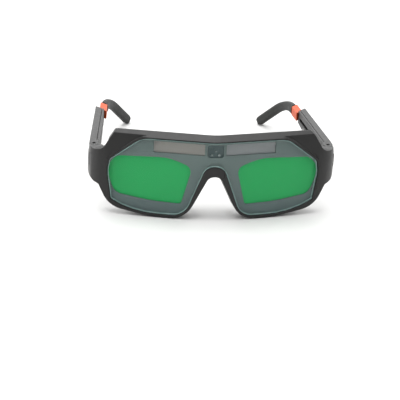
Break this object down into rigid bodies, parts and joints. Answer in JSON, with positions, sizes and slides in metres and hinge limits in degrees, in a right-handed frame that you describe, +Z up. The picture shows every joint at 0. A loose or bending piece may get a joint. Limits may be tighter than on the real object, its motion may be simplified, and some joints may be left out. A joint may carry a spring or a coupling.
{
  "type": "welding goggles",
  "caption": "Welding goggles with a wraparound shell, one front plate over two green filter windows, a solar strip in the brow, hinged temples and sliding ear hooks.",
  "frame": {"origin": "centre of the box round the goggles in X and Y, on the surface that they stand on", "axes": "+Z up, -Y the way the wearer looks, +X the wearer's left"},
  "size_m": [0.1646, 0.1708, 0.0599],
  "materials": {
    "black_plastic": "satin moulded, near black",
    "temple_plastic": "satin moulded, dark grey",
    "orange_plastic": "satin moulded, orange",
    "black_rubber": "soft, matte",
    "clear_plate": "clear polycarbonate, faint teal, glossy",
    "bezel_print": "grey-teal, behind the clear plate",
    "green_filter": "dark green filter glass",
    "liquid_crystal": "liquid crystal shutter with polarisers",
    "solar_silicon": "grey thin-film cell",
    "sensor_plastic": "dark teal window block",
    "diode_lens": "pale moulded lens",
    "circuit_film": "amber flexible circuit",
    "bright_steel": "bright plated steel",
    "inner_clear": "clear polycarbonate"
  },
  "bodies": {
    "front": {"front_frame": "black_plastic", "cover_plate": "clear_plate", "filter_bezel": "bezel_print", "sensor_block": "sensor_plastic", "photodiode_upper": "diode_lens", "photodiode_left": "diode_lens", "photodiode_right": "diode_lens", "flex_circuit": "circuit_film", "coin_cell": "bright_steel", "rear_cover": "black_plastic", "nose_pad": "black_rubber", "filter_glass_left": "green_filter", "lcd_shutter_left": "liquid_crystal", "inner_plate_left": "inner_clear", "solar_cell_left": "solar_silicon", "case_screw_upper_left": "bright_steel", "case_screw_lower_left": "bright_steel", "hinge_pin_left": "bright_steel", "filter_glass_right": "green_filter", "lcd_shutter_right": "liquid_crystal", "inner_plate_right": "inner_clear", "solar_cell_right": "solar_silicon", "case_screw_upper_right": "bright_steel", "case_screw_lower_right": "bright_steel", "hinge_pin_right": "bright_steel"},
    "temple_left": {"temple_arm_left": "temple_plastic", "temple_cover_left": "temple_plastic", "temple_screw_front_left": "bright_steel", "temple_screw_rear_left": "bright_steel", "friction_spring_left": "bright_steel"},
    "hook_left": {"slider_left": "orange_plastic", "ear_hook_left": "black_rubber"},
    "temple_right": {"temple_arm_right": "temple_plastic", "temple_cover_right": "temple_plastic", "temple_screw_front_right": "bright_steel", "temple_screw_rear_right": "bright_steel", "friction_spring_right": "bright_steel"},
    "hook_right": {"slider_right": "orange_plastic", "ear_hook_right": "black_rubber"}
  },
  "joints": [
    {"name": "temple_fold_left", "type": "hinge", "parent": "front", "child": "temple_left", "pos_m": [0.0783, -0.05739, 0.036], "axis": [0, 0, 1], "range_deg": [0, 80]},
    {"name": "temple_fold_right", "type": "hinge", "parent": "front", "child": "temple_right", "pos_m": [-0.0783, -0.05739, 0.036], "axis": [0, 0, -1], "range_deg": [0, 56]},
    {"name": "hook_slide_left", "type": "slide", "parent": "temple_left", "child": "hook_left", "axis": [-0.0555, 0.9935, -0.0993], "range_m": [0, 0.012]},
    {"name": "hook_slide_right", "type": "slide", "parent": "temple_right", "child": "hook_right", "axis": [0.0555, 0.9935, -0.0993], "range_m": [0, 0.012]}
  ]
}
